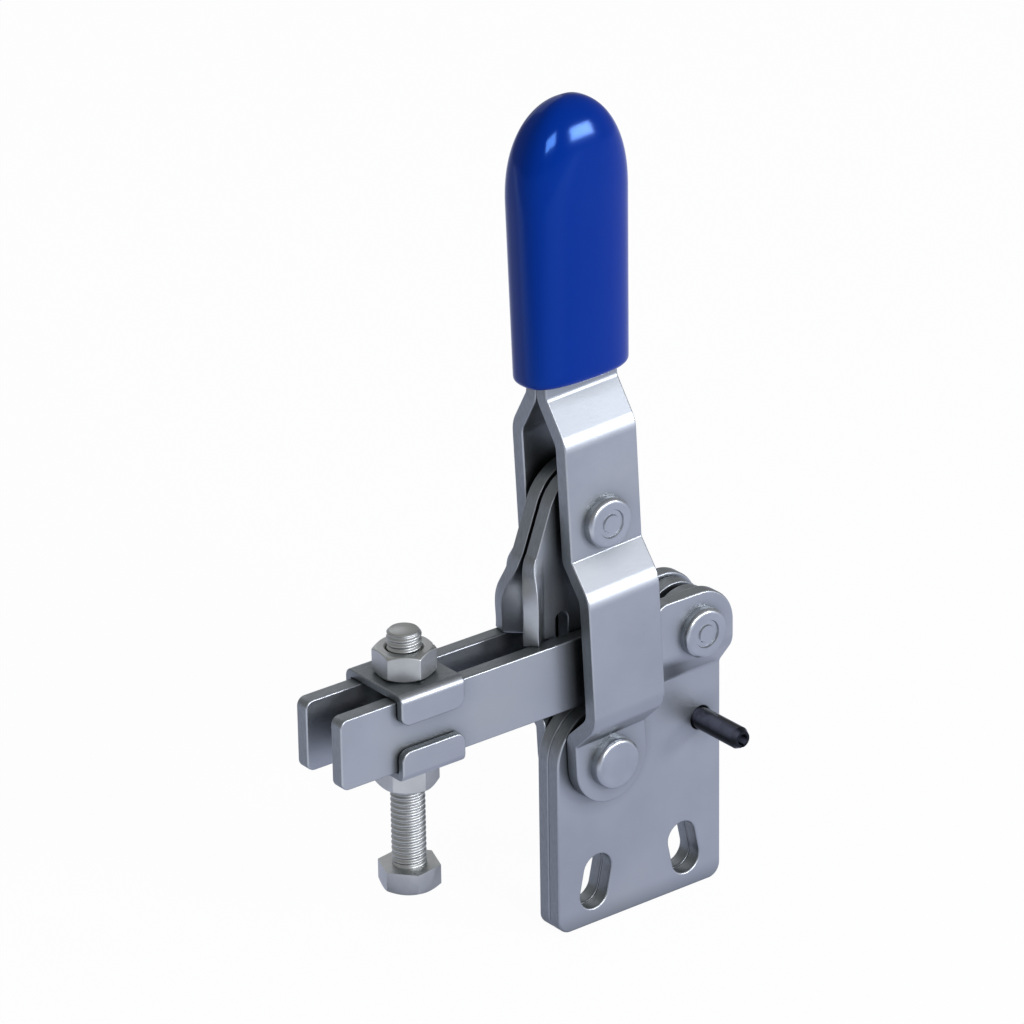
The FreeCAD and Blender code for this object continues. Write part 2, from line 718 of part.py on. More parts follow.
def nut(foot, turn):
    """Return a hexagon nut on the spindle."""
    body = hexagon(foot, HEX_NUT, turn, True, True)
    bore = BOLT_RADIUS + HOLE_GAP
    sink = NUT_SINK
    hole = Part.makeCylinder(bore, HEX_NUT, vec(SPINDLE_X, 0, foot), vec(0, 0, 1))
    cutters = [
        hole,
        Part.makeCone(bore + sink, bore, sink, vec(SPINDLE_X, 0, foot), vec(0, 0, 1)),
        Part.makeCone(bore, bore + sink, sink, vec(SPINDLE_X, 0, foot + HEX_NUT - sink), vec(0, 0, 1)),
    ]
    return body.cut(cutters)


def upper_saddle():
    """Return the upper flanged washer, its sides turned down over the arm bars."""
    inner = ARM_OUTER + SADDLE_GAP
    top = ARM_TOP + SADDLE_SHEET
    foot = top - SADDLE_DEPTH
    half = SADDLE_LENGTH / 2
    outer = inner + SADDLE_SHEET
    section = [
        (-outer, foot, 0),
        (-inner, foot, 0),
        (-inner, ARM_TOP, SADDLE_GAP / 2),
        (inner, ARM_TOP, SADDLE_GAP / 2),
        (inner, foot, 0),
        (outer, foot, 0),
        (outer, top, SADDLE_SHEET),
        (-outer, top, SADDLE_SHEET),
    ]
    washer = cross_prism(section, SPINDLE_X - half, SPINDLE_X + half)
    outline = [
        (SPINDLE_X - half, foot, SADDLE_CORNER),
        (SPINDLE_X + half, foot, SADDLE_CORNER),
        (SPINDLE_X + half, top, 0),
        (SPINDLE_X - half, top, 0),
    ]
    washer = washer.common(side_prism(outline, -outer, outer))
    bore = BOLT_RADIUS + 2 * HOLE_GAP
    return washer.cut(Part.makeCylinder(bore, SADDLE_DEPTH, vec(SPINDLE_X, 0, foot), vec(0, 0, 1)))


def lower_saddle():
    """Return the lower flanged washer, the upper one turned over."""
    washer = upper_saddle()
    return washer.mirror(vec(0, 0, ARM_TOP - ARM_HEIGHT / 2), vec(0, 0, 1))


def side_washer():
    """Return the far washer between link and handle on the upper rivet."""
    low = LINK_OUTER + 2 * PIVOT_GAP
    high = LEVEL_LINK - PLATE
    ring = cross_cylinder(UPPER_PIVOT, WASHER_RADIUS, low, high)
    return ring.cut(cross_cylinder(UPPER_PIVOT, RIVET_RADIUS + HOLE_GAP, low, high))


def model():
    """Return every node's shape by name."""
    nodes = {}
    paired = {
        "base_plate": base_plate(),
        "arm_bar": arm_bar(),
        "handle_plate": handle_plate(),
        "link_washer": side_washer(),
    }
    for name, far in paired.items():
        nodes[name + "_far"] = far
        nodes[name + "_near"] = mirrored(far)
    nodes["link_plate_far"] = link_plate(FAR_FLARE)
    nodes["link_plate_near"] = mirrored(link_plate(NEAR_FLARE))
    ear_reach = EAR_LEVEL + PLATE
    nodes["handle_pivot_rivet"] = formed_rivet(
        HANDLE_PIVOT, RIVET_RADIUS, LEVEL_PIVOT, PLAIN_HEAD_RADIUS, PLAIN_HEAD_HEIGHT, False)
    nodes["arm_pivot_rivet"] = formed_rivet(
        ARM_PIVOT, RIVET_RADIUS, ear_reach, HEAD_RADIUS, HEAD_HEIGHT, True)
    nodes["link_lower_rivet"] = formed_rivet(
        LOWER_PIVOT, RIVET_RADIUS, ARM_OUTER, LOW_HEAD_RADIUS, LOW_HEAD_HEIGHT, False)
    nodes["link_upper_rivet"] = formed_rivet(
        UPPER_PIVOT, RIVET_RADIUS, LEVEL_LINK, HEAD_RADIUS, HEAD_HEIGHT, True)
    nodes["stop_pin"] = stop_pin()
    nodes["arm_spacer"] = spacer(ARM_PIVOT, ARM_BACK_GAP / 2, RIVET_RADIUS, SPACER_RADIUS)
    nodes["link_spacer"] = spacer(LOWER_PIVOT, LINK_GAP / 2, RIVET_RADIUS, SPACER_RADIUS)
    nodes["handle_grip"] = grip()
    nodes["spindle_bolt"] = spindle_bolt()
    nodes["upper_nut"] = nut(ARM_TOP + SADDLE_SHEET, UPPER_NUT_TURN)
    nodes["lower_nut"] = nut(ARM_FOOT - SADDLE_SHEET - HEX_NUT, LOWER_NUT_TURN)
    nodes["upper_flanged_washer"] = upper_saddle()
    nodes["lower_flanged_washer"] = lower_saddle()
    return nodes


def main():
    """Write one STEP file for each node and report the motion of the linkage."""
    os.makedirs("parts", exist_ok=True)
    for name, shape in model().items():
        if not shape.isValid() or len(shape.Solids) != 1:
            print("check", name, shape.isValid(), len(shape.Solids))
        shape.exportStep(os.path.join("parts", name + ".step"))
        print(name, round(shape.Volume, 1))
    arm_open, link_open = open_angles()
    travel = radians(HANDLE_TRAVEL)
    print("arm per handle", round(arm_open / travel, 5), "open", round(arm_open * 180 / pi, 3))
    print("link on arm per handle", round((link_open - arm_open) / travel, 5),
          "open", round((link_open - arm_open) * 180 / pi, 3))
    print("upper pivot", UPPER_PIVOT, "lower pivot", LOWER_PIVOT)


main()
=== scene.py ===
"""Looks of the vertical-handle toggle clamp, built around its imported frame.

Lengths are metres in the frame's own axes: X from the spindle to the stop pin, Y across, Z up.
"""
import json
import logging
from dataclasses import dataclass, field
from enum import Enum
from math import cos, pi, radians, sin, sqrt, tau
from typing import Union

import bmesh
import bpy
from mathutils import Matrix, Vector

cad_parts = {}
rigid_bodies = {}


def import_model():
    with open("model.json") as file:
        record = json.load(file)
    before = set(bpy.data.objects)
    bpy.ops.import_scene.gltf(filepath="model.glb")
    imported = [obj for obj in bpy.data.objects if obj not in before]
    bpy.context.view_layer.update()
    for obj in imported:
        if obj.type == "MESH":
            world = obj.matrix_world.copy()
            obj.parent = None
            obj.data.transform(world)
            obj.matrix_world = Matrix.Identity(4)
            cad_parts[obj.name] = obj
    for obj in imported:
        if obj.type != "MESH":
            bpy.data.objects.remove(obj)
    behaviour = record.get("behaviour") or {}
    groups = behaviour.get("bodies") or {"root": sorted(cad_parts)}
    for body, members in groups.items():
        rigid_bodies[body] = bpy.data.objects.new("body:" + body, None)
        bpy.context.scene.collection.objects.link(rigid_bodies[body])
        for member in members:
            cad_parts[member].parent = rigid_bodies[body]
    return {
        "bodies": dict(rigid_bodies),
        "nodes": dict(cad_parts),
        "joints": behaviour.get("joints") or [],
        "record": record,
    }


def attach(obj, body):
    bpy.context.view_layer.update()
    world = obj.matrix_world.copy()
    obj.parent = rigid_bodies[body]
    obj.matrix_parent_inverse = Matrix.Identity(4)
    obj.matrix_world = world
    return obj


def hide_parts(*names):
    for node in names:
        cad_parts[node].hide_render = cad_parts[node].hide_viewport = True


LOG = logging.getLogger("toggle_clamp")
MM = 0.001
SHARP = radians(40)

Number = Union[int, float]
Colour = tuple[float, float, float, float]


class Socket:
    """A value in a material, on which plain arithmetic adds Math nodes."""

    def __init__(self, sheet: "Sheet", link: bpy.types.NodeSocket) -> None:
        """Keep the material being drawn and the socket that holds the value."""
        self.sheet = sheet
        self.link = link

    def _math(self, operation: str, first: object, second: object) -> "Socket":
        """Return the result of one Math node."""
        return self.sheet.add("ShaderNodeMath", {"operation": operation}, {0: first, 1: second})

    def __add__(self, other: object) -> "Socket":
        """Return self + other."""
        return self._math("ADD", self, other)

    def __radd__(self, other: object) -> "Socket":
        """Return other + self."""
        return self._math("ADD", other, self)

    def __sub__(self, other: object) -> "Socket":
        """Return self - other."""
        return self._math("SUBTRACT", self, other)

    def __rsub__(self, other: object) -> "Socket":
        """Return other - self."""
        return self._math("SUBTRACT", other, self)

    def __mul__(self, other: object) -> "Socket":
        """Return self * other."""
        return self._math("MULTIPLY", self, other)

    def __rmul__(self, other: object) -> "Socket":
        """Return other * self."""
        return self._math("MULTIPLY", other, self)

    def __abs__(self) -> "Socket":
        """Return the value without its sign."""
        return self._math("ABSOLUTE", self, 0.0)

    def above(self, edge: Number, width: Number) -> "Socket":
        """Return 0 well below an edge and 1 well above it, with a soft step between.

        Args:
            edge: value at the middle of the step.
            width: distance over which the step runs.

        Returns:
            The mask.
        """
        settings = {"interpolation_type": "SMOOTHSTEP"}
        spread = {"Value": self, "From Min": edge - width / 2, "From Max": edge + width / 2}
        return self.sheet.add("ShaderNodeMapRange", settings, spread)


class Sheet:
    """One material's nodes, with its Principled surface ready."""

    def __init__(self, name: str) -> None:
        """Make the material."""
        self.material = bpy.data.materials.new(name)
        self.material.use_nodes = True
        self.tree = self.material.node_tree
        self.surface = self.tree.nodes["Principled BSDF"]

    def node(self, kind: str, settings: dict, inputs: dict) -> bpy.types.Node:
        """Add one node.

        Args:
            kind: Blender's name of the node's type.
            settings: attributes set before any input.
            inputs: socket name or number to a constant or a Socket.

        Returns:
            The node.
        """
        made = self.tree.nodes.new(kind)
        for key, value in settings.items():
            setattr(made, key, value)
        for key, value in inputs.items():
            self.feed(made.inputs[key], value)
        return made

    def add(self, kind: str, settings: dict, inputs: dict, output: Union[int, str] = 0) -> Socket:
        """Add one node and return the Socket of one of its outputs."""
        return Socket(self, self.node(kind, settings, inputs).outputs[output])

    def feed(self, target: bpy.types.NodeSocket, value: object) -> None:
        """Link a Socket to an input, or set a constant on it."""
        if isinstance(value, Socket):
            self.tree.links.new(value.link, target)
        else:
            target.default_value = value

    def finish(self, **inputs: object) -> bpy.types.Material:
        """Set the surface's inputs, named with underscores for spaces, and return the material."""
        for key, value in inputs.items():
            self.feed(self.surface.inputs[key.replace("_", " ")], value)
        return self.material

    def place(self, stretch: tuple[float, float, float] = (1.0, 1.0, 1.0)) -> Socket:
        """Return the piece's own coordinates, stretched along each axis."""
        own = self.add("ShaderNodeTexCoord", {}, {}, "Object")
        return self.add("ShaderNodeMapping", {}, {"Vector": own, "Scale": stretch})

    def along(self, way: tuple[float, float, float]) -> Socket:
        """Return how far a point of the piece lies along a direction, in metres."""
        settings = {"operation": "DOT_PRODUCT"}
        return self.add("ShaderNodeVectorMath", settings, {0: self.place(), 1: way}, "Value")

    def facing(self, axis: str) -> Socket:
        """Return one part of the piece's own surface normal."""
        normal = self.add("ShaderNodeTexCoord", {}, {}, "Normal")
        return self.add("ShaderNodeSeparateXYZ", {}, {"Vector": normal}, axis)

    def noise(self, place: Socket, scale: float, detail: float = 3.0) -> Socket:
        """Return fractal noise between 0 and 1."""
        return self.add("ShaderNodeTexNoise", {}, {"Vector": place, "Scale": scale, "Detail": detail})

    def openness(self, reach: float) -> Socket:
        """Return 1 on open surfaces, less in gaps and corners within the given reach in metres."""
        return self.add("ShaderNodeAmbientOcclusion", {}, {"Distance": reach}, "AO")

    def blend(self, mask: object, low: object, high: object) -> Socket:
        """Return a colour between two others."""
        settings = {"data_type": "RGBA"}
        return self.add("ShaderNodeMix", settings, {0: mask, 6: low, 7: high}, 2)

    def grain(self, height: Socket, depth: float) -> Socket:
        """Return the surface normal with a relief of the given depth in metres."""
        relief = {"Height": height, "Distance": depth, "Strength": 1.0}
        return self.add("ShaderNodeBump", {}, relief, "Normal")


@dataclass(frozen=True)
class PlatedSheet:
    """Zinc-plated pressed sheet: satin faces, sheared edges, faint warm stains, and painted shade in gaps and
    corners.
    """

    name: str = "zinc_plate"
    face: Colour = (0.36, 0.38, 0.40, 1.0)
    dull: Colour = (0.315, 0.333, 0.35, 1.0)
    stain: Colour = (0.37, 0.38, 0.36, 1.0)
    edge: Colour = (0.17, 0.185, 0.19, 1.0)
    # painted shade: the near-black colour for gaps and corners, and how far the AO node looks for other
    # surfaces
    painted_shade: Colour = (0.06, 0.072, 0.075, 1.0)
    painted_shade_reach: float = 4.0 * MM
    roughness: float = 0.40
    fleck_roughness: float = 0.10
    cut_roughness: float = 0.08
    cloud_scale: float = 60.0
    fleck_scale: float = 2600.0
    face_turn: float = 0.30
    stain_level: float = 0.62
    stain_share: float = 0.6
    shear_share: float = 0.6
    shear_stretch: tuple[float, float, float] = (0.3, 1.0, 0.3)
    relief: float = 0.006 * MM

    def build(self) -> bpy.types.Material:
        """Return the material."""
        sheet = Sheet(self.name)
        place = sheet.place()
        cloud = sheet.noise(place, self.cloud_scale)
        fleck = sheet.noise(place, self.fleck_scale, 2.0)
        warm = sheet.noise(place, self.cloud_scale / 2).above(self.stain_level, 0.2)
        shear = sheet.noise(sheet.place(self.shear_stretch), self.fleck_scale, 1.0)
        flat = abs(sheet.facing("Y")).above(self.face_turn, 0.2)
        face = sheet.blend(cloud.above(0.5, 0.5), self.dull, self.face)
        face = sheet.blend(warm * self.stain_share, face, self.stain)
        cut = sheet.blend(shear * self.shear_share, self.edge, self.dull)
        # painted shade: gaps, corners and the space between parts darken toward near-black, wherever the AO
        # node finds them
        colour = sheet.blend(sheet.openness(self.painted_shade_reach), self.painted_shade, sheet.blend(flat, cut, face))
        roughness = self.roughness + self.fleck_roughness * (fleck - 0.5) + self.cut_roughness * (1 - flat)
        relief = sheet.grain(fleck * flat + shear * (1 - flat), self.relief)
        return sheet.finish(Base_Color=colour, Roughness=roughness, Metallic=1.0, Normal=relief)


@dataclass(frozen=True)
class PlatedPiece:
    """Zinc-plated formed or turned steel, such as rivets, nuts and the spindle."""

    name: str
    bright: Colour
    dull: Colour
    roughness: float
    fleck_roughness: float = 0.12
    cloud_scale: float = 140.0
    fleck_scale: float = 1500.0
    relief: float = 0.003 * MM

    def build(self) -> bpy.types.Material:
        """Return the material."""
        sheet = Sheet(self.name)
        place = sheet.place()
        cloud = sheet.noise(place, self.cloud_scale)
        fleck = sheet.noise(place, self.fleck_scale, 2.0)
        colour = sheet.blend(cloud.above(0.5, 0.5), self.dull, self.bright)
        roughness = self.roughness + self.fleck_roughness * (fleck - 0.5)
        return sheet.finish(
            Base_Color=colour, Roughness=roughness, Metallic=1.0,
            Normal=sheet.grain(fleck, self.relief))


@dataclass(frozen=True)
class BlackSpring:
    """Black oiled spring steel, with a painted sheen along its upper front."""

    name: str = "black_spring_steel"
    deep: Colour = (0.004, 0.005, 0.008, 1.0)
    # painted sheen: the lighter colour of a highlight streak along the pin's upper front
    painted_sheen: Colour = (0.10, 0.105, 0.145, 1.0)
    cloud_scale: float = 400.0
    sheen_turn: float = 1.25
    roughness: float = 0.10
    cloud_roughness: float = 0.10
    gloss: float = 0.12

    def build(self) -> bpy.types.Material:
        """Return the material."""
        sheet = Sheet(self.name)
        cloud = sheet.noise(sheet.place(), self.cloud_scale)
        # painted highlight: a lighter, broken streak on faces that point up and toward -X, standing in for a
        # reflection
        sheen_mask = (sheet.facing("Z") - sheet.facing("X")).above(self.sheen_turn, 0.5)
        return sheet.finish(
            Base_Color=sheet.blend(sheen_mask * cloud.above(0.35, 0.5), self.deep, self.painted_sheen),
            Roughness=self.roughness + self.cloud_roughness * cloud, Specular_IOR_Level=self.gloss)


@dataclass(frozen=True)
class DippedVinyl:
    """Glossy dipped vinyl."""

    name: str = "blue_grip"
    deep: Colour = (0.0, 0.014, 0.158, 1.0)
    bright: Colour = (0.0, 0.017, 0.172, 1.0)
    shine: Colour = (0.15, 0.40, 1.0, 1.0)
    roughness: float = 0.13
    gloss: float = 0.3
    swell_scale: float = 45.0
    relief: float = 0.04 * MM

    def build(self) -> bpy.types.Material:
        """Return the material."""
        sheet = Sheet(self.name)
        swell = sheet.noise(sheet.place(), self.swell_scale, 1.0)
        return sheet.finish(
            Base_Color=sheet.blend(swell, self.deep, self.bright),
            Roughness=self.roughness, Specular_IOR_Level=self.gloss, Specular_Tint=self.shine,
            Normal=sheet.grain(swell, self.relief))


class Finish(Enum):
    """The finishes of the clamp's pieces."""

    PLATE = PlatedSheet()
    FORMED = PlatedPiece("zinc_turned", (0.39, 0.41, 0.43, 1.0), (0.33, 0.35, 0.37, 1.0), 0.34)
    FASTENER = PlatedPiece("zinc_fastener", (0.43, 0.44, 0.43, 1.0), (0.35, 0.36, 0.35, 1.0), 0.44)
    SPRING = BlackSpring()
    GRIP = DippedVinyl()


@dataclass
class Workshop:
    """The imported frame, the finishes made so far and the way edges are broken."""

    frame: dict
    materials: dict[Finish, bpy.types.Material] = field(default_factory=dict)
    weld_reach: float = 0.002 * MM
    flat_angle: float = radians(0.5)
    edge_angle: float = radians(50)
    edge_rows: int = 3

    def material(self, finish: Finish) -> bpy.types.Material:
        """Return a finish's material, made once."""
        if finish not in self.materials:
            self.materials[finish] = finish.value.build()
        return self.materials[finish]

    def dress(self, name: str, finish: Finish, edge: float = 0.0) -> None:
        """Give a node of the frame its finish and broken edges.

        Args:
            name: the node.
            finish: its finish.
            edge: width of the broken edges in metres, or 0 for none.
        """
        piece = self.frame["nodes"][name]
        self.paint(piece, finish)
        if edge > 0:
            weld = piece.modifiers.new("joined_edges", "WELD")
            weld.merge_threshold = self.weld_reach
            flats = piece.modifiers.new("whole_flats", "DECIMATE")
            flats.decimate_type = "DISSOLVE"
            flats.angle_limit = self.flat_angle
            bevel = piece.modifiers.new("broken_edges", "BEVEL")
            bevel.width = edge
            bevel.segments = self.edge_rows
            bevel.limit_method = "ANGLE"
            bevel.angle_limit = self.edge_angle
            bevel.use_clamp_overlap = False
            bevel.loop_slide = False
            bevel.miter_outer = "MITER_ARC"
            shading = piece.modifiers.new("flat_flats", "WEIGHTED_NORMAL")
            shading.keep_sharp = False
            piece.data.shade_smooth()
        LOG.info("dressed %s", name)

    def paint(self, piece: bpy.types.Object, finish: Finish) -> None:
        """Put one finish on all of a piece."""
        slots = piece.data.materials
        if len(slots) == 0:
            slots.append(self.material(finish))
        for index in range(len(slots)):
            slots[index] = self.material(finish)

    def stand_for(
        self, mesh: bmesh.types.BMesh, name: str, body: str, finish: Finish, slot: str, *nodes: str,
    ) -> bpy.types.Object:
        """Turn a mesh into a piece that rides on a body in place of nodes of the frame.

        Args:
            mesh: the piece's shape, freed afterwards.
            name: the piece's name.
            body: the body that it rides on.
            finish: its finish.
            slot: the record's material slot; not used.
            nodes: the nodes that it stands for.

        Returns:
            The piece.
        """
        data = bpy.data.meshes.new(name)
        mesh.to_mesh(data)
        mesh.free()
        data.shade_smooth()
        data.set_sharp_from_angle(angle=SHARP)
        piece = bpy.data.objects.new(name, data)
        bpy.context.scene.collection.objects.link(piece)
        self.paint(piece, finish)
        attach(piece, body)
        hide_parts(*nodes)
        LOG.info("built %s", name)
        return piece


def ring_tube(rings: list[list[Vector]]) -> bmesh.types.BMesh:
    """Return a closed surface through rings of equal length, with both ends capped."""
    mesh = bmesh.new()
    rows = [[mesh.verts.new(point) for point in ring] for ring in rings]
    count = len(rows[0])
    for lower, upper in zip(rows, rows[1:]):
        for index in range(count):
            after = (index + 1) % count
            mesh.faces.new((lower[index], lower[after], upper[after], upper[index]))
    mesh.faces.new(list(reversed(rows[0])))
    mesh.faces.new(rows[-1])
    mesh.normal_update()
    return mesh


@dataclass
class Base:
    """The two upright base plates, their rivets and the stop pin."""

    plate_edge: float = 0.4 * MM

    def build(self, shop: Workshop) -> None:
        """Dress the base."""
        for side in ("near", "far"):
            shop.dress(f"base_plate_{side}", Finish.PLATE, self.plate_edge)
        shop.dress("arm_pivot_rivet", Finish.FORMED)
        shop.dress("handle_pivot_rivet", Finish.FORMED)
        shop.dress("stop_pin", Finish.SPRING)


@dataclass
class Arm:
    """The arm bars with the spacer and rivet between them."""

    bar_edge: float = 0.3 * MM

    def build(self, shop: Workshop) -> None:
        """Dress the arm."""
        for side in ("near", "far"):
            shop.dress(f"arm_bar_{side}", Finish.PLATE, self.bar_edge)
        shop.dress("arm_spacer", Finish.FORMED)
        shop.dress("link_lower_rivet", Finish.FORMED)


@dataclass
class Link:
    """The link plates and their spacer."""

    plate_edge: float = 0.18 * MM

    def build(self, shop: Workshop) -> None:
        """Dress the link."""
        for side in ("near", "far"):
            shop.dress(f"link_plate_{side}", Finish.PLATE, self.plate_edge)
        shop.dress("link_spacer", Finish.FORMED)


@dataclass
class Handle:
    """The handle plates, their rivet and washers, and the dipped grip."""

    plate_edge: float = 0.33 * MM
    lean: float = radians(2.95)
    grip_lean: float = radians(0.95)
    pivot: Vector = field(default_factory=lambda: Vector((-8.3, 0.0, 23.85)) * MM)
    grip_start: float = 71.15 * MM
    grip_length: float = 48.8 * MM
    half_width: float = 11.2 * MM
    half_depth: float = 5.8 * MM
    dome: float = 17.0 * MM
    dome_power: float = 2.3
    squareness: float = 2.7
    foot_share: float = 0.955
    lip: float = 1.2 * MM
    around: int = 96
    lip_rows: int = 5
    dome_rows: int = 40
    side_rows: int = 24

    def build(self, shop: Workshop) -> None:
        """Dress the handle and build its grip."""
        for side in ("near", "far"):
            shop.dress(f"handle_plate_{side}", Finish.PLATE, self.plate_edge)
            shop.dress(f"link_washer_{side}", Finish.FORMED)
        shop.dress("link_upper_rivet", Finish.FORMED)
        shop.stand_for(
            self.grip(), "dipped_grip", "handle", Finish.GRIP, "blue_grip", "handle_grip")

    def grip(self) -> bmesh.types.BMesh:
        """Return the grip: a rounded sleeve that widens a little and closes in a dome."""
        dome_start = self.grip_start + self.grip_length - self.dome
        rings = []
        for row in range(self.lip_rows + 1):
            turn = pi / 2 * row / self.lip_rows
            inset = self.lip * (1 - sin(turn))
            rings.append(self.ring(self.grip_start + self.lip * (1 - cos(turn)), self.foot_share, inset))
        for row in range(1, self.side_rows + 1):
            share = row / self.side_rows
            height = self.grip_start + self.lip + share * (dome_start - self.grip_start - self.lip)
            rings.append(self.ring(height, self.foot_share + (1 - self.foot_share) * share, 0.0))
        for row in range(1, self.dome_rows):
            turn = pi / 2 * row / self.dome_rows
            share = sin(turn)
            rings.append(self.ring(
                dome_start + self.dome * share, sqrt(1 - share ** self.dome_power), 0.0))
        return ring_tube(rings)

    def ring(self, height: float, size: float, inset: float) -> list[Vector]:
        """Return one section of the grip.

        Args:
            height: distance along the handle from its pivot.
            size: share of the full section.
            inset: distance by which the section is drawn in.

        Returns:
            The section's points in the frame.
        """
        power = 2 / self.squareness
        start = self.pivot + Matrix.Rotation(-self.lean, 3, "Y") @ Vector((0.0, 0.0, self.grip_start))
        points = []
        for step in range(self.around):
            angle = tau * step / self.around
            across = cos(angle)
            deep = sin(angle)
            wide = (self.half_width * size - inset) * abs(across) ** power
            thick = (self.half_depth * size - inset) * abs(deep) ** power
            point = Vector((
                wide if across > 0 else -wide, thick if deep > 0 else -thick, height - self.grip_start))
            point = start + Matrix.Rotation(-self.grip_lean, 3, "Y") @ point
            points.append(point)
        return points


@dataclass
class Spindle:
    """The threaded spindle, its nuts and the flanged washers."""

    nut_edge: float = 0.15 * MM
    washer_edge: float = 0.3 * MM
    axis_x: float = -47.7 * MM
    crest: float = 2.95 * MM
    root: float = 2.6 * MM
    pitch: float = 1.0 * MM
    runout: float = 0.8 * MM
    head_top: float = 15.5 * MM
    top: float = 58.7 * MM
    chamfer: float = 0.5 * MM
    margin: float = 0.01 * MM
    weld_reach: float = 0.002 * MM
    root_share: float = 0.12
    flank_share: float = 0.70
    around: int = 64
    rows_per_turn: int = 12

    def build(self, shop: Workshop) -> None:
        """Dress the nuts and washers and build the threaded spindle."""
        for place in ("upper", "lower"):
            shop.dress(f"{place}_nut", Finish.FASTENER, self.nut_edge)
            shop.dress(f"{place}_flanged_washer", Finish.PLATE, self.washer_edge)
        shop.stand_for(
            self.bolt(shop.frame["nodes"]["spindle_bolt"]), "threaded_spindle", "spindle",
            Finish.FASTENER, "zinc_fastener", "spindle_bolt")

    def bolt(self, node: bpy.types.Object) -> bmesh.types.BMesh:
        """Return the head of the frame's bolt with a threaded shank on it."""
        mesh = bmesh.new()
        mesh.from_mesh(node.data)
        limit = self.head_top + self.margin
        shank = [face for face in mesh.faces if max(vert.co.z for vert in face.verts) > limit]
        bmesh.ops.delete(mesh, geom=shank, context="FACES")
        bmesh.ops.remove_doubles(mesh, verts=mesh.verts, dist=self.weld_reach)
        thread = ring_tube(self.thread_rings())
        joined = bpy.data.meshes.new("thread")
        thread.to_mesh(joined)
        thread.free()
        mesh.from_mesh(joined)
        bpy.data.meshes.remove(joined)
        return mesh

    def thread_rings(self) -> list[list[Vector]]:
        """Return the rings of the threaded shank, from the head to the chamfered end."""
        step = self.pitch / self.rows_per_turn
        count = int((self.top - self.head_top) / step)
        rings = []
        for row in range(count + 1):
            height = self.head_top + (self.top - self.head_top) * row / count
            rings.append([self.thread_point(height, tau * turn / self.around) for turn in range(self.around)])
        return rings

    def thread_point(self, height: float, angle: float) -> Vector:
        """Return one point of the thread.

        Args:
            height: height in the frame.
            angle: direction about the spindle's axis, in radians.

        Returns:
            The point.
        """
        phase = (height / self.pitch - angle / tau) % 1.0
        slope = abs(phase - 0.5) * 2
        fill = min(1.0, max(0.0, (slope - self.root_share) / self.flank_share))
        run = min(1.0, (height - self.head_top) / self.runout)
        radius = self.crest - (self.crest - self.root) * (1 - fill) * run
        radius = min(radius, self.crest - self.chamfer + (self.top - height))
        return Vector((self.axis_x + radius * cos(angle), radius * sin(angle), height))


@dataclass
class Lamp:
    """One soft light that faces the clamp.

    Its width is its level side, both sides in metres, and its power is in watts.
    """

    name: str
    place: Vector
    width: float
    height: float
    power: float
    colour: tuple[float, float, float] = (0.93, 0.95, 1.04)

    def hang(self, target: Vector) -> None:
        """Hang the light so that it faces the target."""
        light = bpy.data.lights.new(self.name, "AREA")
        light.shape = "RECTANGLE"
        light.size = self.width
        light.size_y = self.height
        light.energy = self.power
        light.color = self.colour
        lamp = bpy.data.objects.new(self.name, light)
        lamp.location = self.place
        lamp.rotation_euler = (target - self.place).to_track_quat("-Z", "Y").to_euler()
        bpy.context.scene.collection.objects.link(lamp)


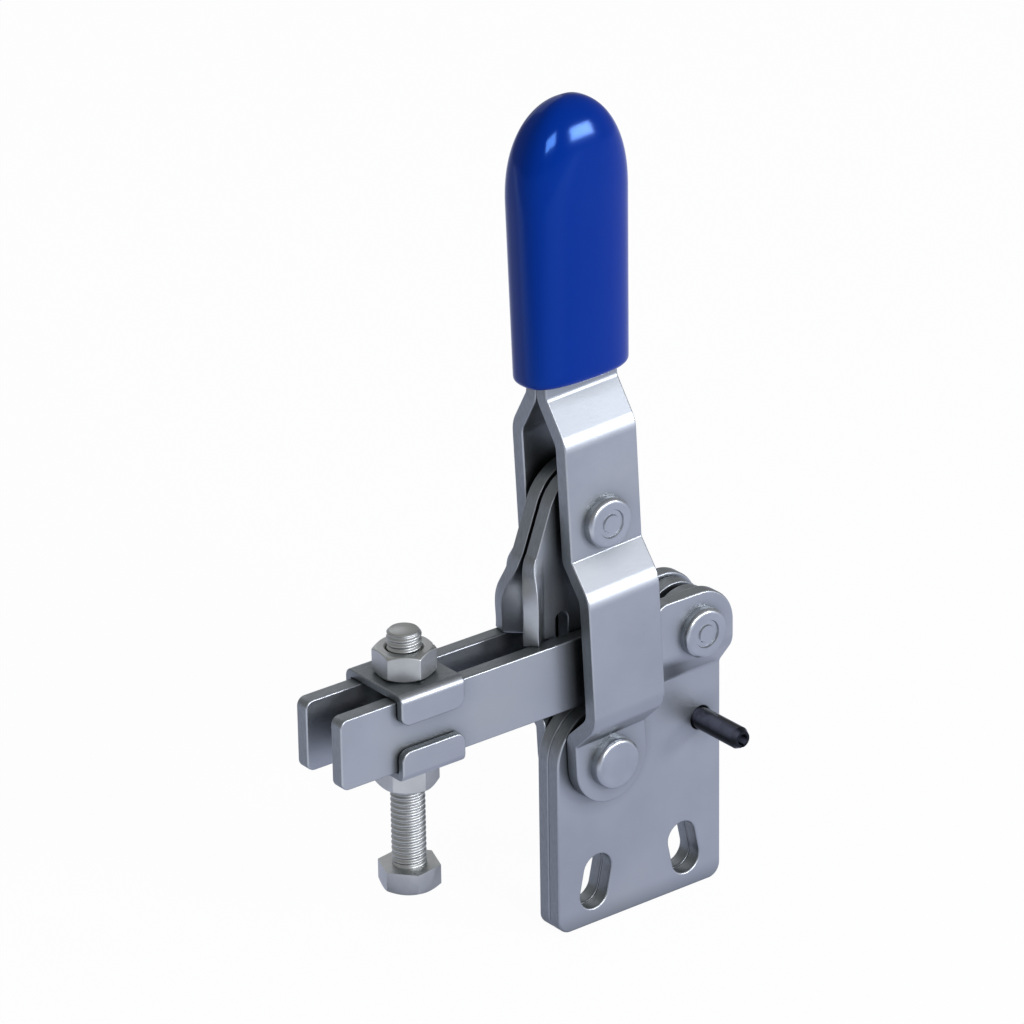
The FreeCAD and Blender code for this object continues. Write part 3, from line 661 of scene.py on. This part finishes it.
@dataclass
class Studio:
    """The pale floor, the soft lights and the camera."""

    floor_height: float = -8.0 * MM
    floor_size: float = 6.0
    floor_colour: Colour = (0.82, 0.82, 0.82, 1.0)
    floor_roughness: float = 0.9
    sky: Colour = (1.0, 1.0, 1.0, 1.0)
    sky_strength: float = 0.45
    # painted reflection: the floor's colour for glossy rays, and the place and colour of a band brighter than
    # white that only glossy rays see
    floor_mirror: Colour = (0.77, 0.81, 1.02, 1.0)
    floor_glow: float = 0.96
    band_way: tuple[float, float, float] = (-0.8, -0.6, 0.0)
    band_near: float = 100.0 * MM
    band_far: float = 240.0 * MM
    band_fade: float = 80.0 * MM
    reflection_band: Colour = (1.45, 1.50, 1.65, 1.0)
    lens: float = 199.6
    azimuth: float = radians(37.828)
    elevation: float = radians(24.329)
    roll: float = radians(-0.894)
    distance: float = 939.88 * MM
    target: Vector = field(default_factory=lambda: Vector((-24.787, 0.0, 73.102)) * MM)
    sensor: float = 36.0
    near_clip: float = 10.0 * MM

    def build(self) -> None:
        """Set up the floor, the lights, the world and the camera."""
        self.floor()
        self.world()
        Lamp("key", Vector((-0.09, -1.14, 0.51)), 0.46, 0.26, 10.5).hang(self.target)
        Lamp("side", Vector((0.67, -0.964, 0.35)), 0.26, 0.22, 7.8).hang(self.target)
        Lamp("back", Vector((0.2, 0.9, 0.7)), 0.8, 0.8, 1.5).hang(self.target)
        self.camera()
        bpy.context.scene.view_settings.view_transform = "Standard"

    def floor(self) -> None:
        """Make the floor, white to the eye, with soft shadows and a painted reflection: glossy rays see it
        bluish, with a band brighter than white.
        """
        mesh = bmesh.new()
        bmesh.ops.create_grid(mesh, size=self.floor_size / 2)
        bmesh.ops.translate(mesh, verts=mesh.verts, vec=(0.0, 0.0, self.floor_height))
        data = bpy.data.meshes.new("floor")
        mesh.to_mesh(data)
        mesh.free()
        floor = bpy.data.objects.new("floor", data)
        bpy.context.scene.collection.objects.link(floor)
        sheet = Sheet("pale_floor")
        material = sheet.finish(Base_Color=self.floor_colour, Roughness=self.floor_roughness)
        eye = sheet.add("ShaderNodeLightPath", {}, {}, "Is Camera Ray")
        mirror = sheet.add("ShaderNodeLightPath", {}, {}, "Is Glossy Ray")
        # painted reflection: only glossy rays see the bluish floor colour and the band brighter than white;
        # the camera sees plain white
        reach = sheet.along(self.band_way)
        reflection_band = reach.above(self.band_near, self.band_fade) * (1 - reach.above(self.band_far, self.band_fade))
        shade = sheet.blend(mirror, self.sky, sheet.blend(reflection_band, self.floor_mirror, self.reflection_band))
        glow = sheet.add("ShaderNodeEmission", {}, {"Color": shade, "Strength": 1.0})
        lit = Socket(sheet, sheet.surface.outputs["BSDF"])
        both = sheet.add("ShaderNodeMixShader", {}, {0: (eye + mirror) * self.floor_glow, 1: lit, 2: glow})
        sheet.feed(sheet.tree.nodes["Material Output"].inputs["Surface"], both)
        data.materials.append(material)

    def world(self) -> None:
        """Fill the room with even light and show white beyond the floor."""
        world = bpy.data.worlds.new("studio")
        bpy.context.scene.world = world
        world.use_nodes = True
        nodes = world.node_tree.nodes
        links = world.node_tree.links
        background = nodes["Background"]
        background.inputs["Color"].default_value = self.sky
        rays = nodes.new("ShaderNodeLightPath")
        seen = nodes.new("ShaderNodeMath")
        seen.operation = "MAXIMUM"
        links.new(rays.outputs["Is Camera Ray"], seen.inputs[0])
        links.new(rays.outputs["Is Transmission Ray"], seen.inputs[1])
        level = nodes.new("ShaderNodeMapRange")
        links.new(seen.outputs[0], level.inputs["Value"])
        level.inputs["To Min"].default_value = self.sky_strength
        level.inputs["To Max"].default_value = 1.0
        links.new(level.outputs[0], background.inputs["Strength"])

    def camera(self) -> None:
        """Set the camera at the photograph's angle."""
        back = Vector((
            -sin(self.azimuth) * cos(self.elevation),
            -cos(self.azimuth) * cos(self.elevation),
            sin(self.elevation)))
        right = Vector((cos(self.azimuth), -sin(self.azimuth), 0.0))
        up = back.cross(right)
        level_right = right * cos(self.roll) + up * sin(self.roll)
        level_up = up * cos(self.roll) - right * sin(self.roll)
        data = bpy.data.cameras.new("camera")
        data.lens = self.lens
        data.sensor_width = self.sensor
        data.clip_start = self.near_clip
        camera = bpy.data.objects.new("camera", data)
        turn = Matrix((level_right, level_up, back)).transposed().to_4x4()
        camera.matrix_world = Matrix.Translation(self.target + back * self.distance) @ turn
        bpy.context.scene.collection.objects.link(camera)
        bpy.context.scene.camera = camera


def main() -> None:
    """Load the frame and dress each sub-assembly."""
    logging.basicConfig(level=logging.INFO, format="%(name)s: %(message)s")
    shop = Workshop(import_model())
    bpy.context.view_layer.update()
    Base().build(shop)
    Arm().build(shop)
    Link().build(shop)
    Handle().build(shop)
    Spindle().build(shop)
    Studio().build()


if __name__ == "__main__":
    main()
